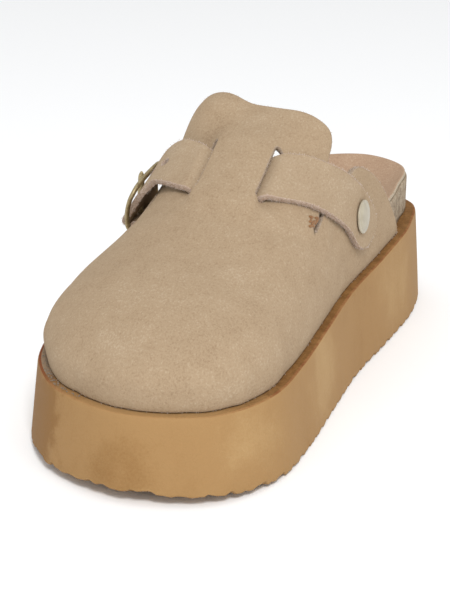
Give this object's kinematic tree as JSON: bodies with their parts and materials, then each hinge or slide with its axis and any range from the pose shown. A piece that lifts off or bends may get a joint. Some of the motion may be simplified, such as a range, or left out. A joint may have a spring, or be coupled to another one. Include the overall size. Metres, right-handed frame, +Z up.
{
  "type": "platform clog",
  "caption": "Suede clog on a thick flared platform, with a closed toe, an open heel, a tongue and one buckled strap.",
  "frame": {"origin": "middle of the shoe's box, on the floor", "axes": "toe towards -Y, heel towards +Y, big-toe side towards +X, +Z up"},
  "size_m": [0.104, 0.262, 0.1058],
  "materials": {
    "platform": "matte caramel foam",
    "cork": "matte grey-brown cork",
    "cover": "suede",
    "suede": "suede",
    "cap": "satin cream",
    "metal": "aged matte brass"
  },
  "bodies": {
    "root": {"platform_sole": "platform", "footbed": "cork", "footbed_cover": "cover", "upper": "suede", "strap": "suede", "strap_rivet": "cap", "buckle_tab": "suede", "tab_rivet": "metal", "buckle_frame": "metal", "buckle_prong": "metal"}
  },
  "joints": []
}
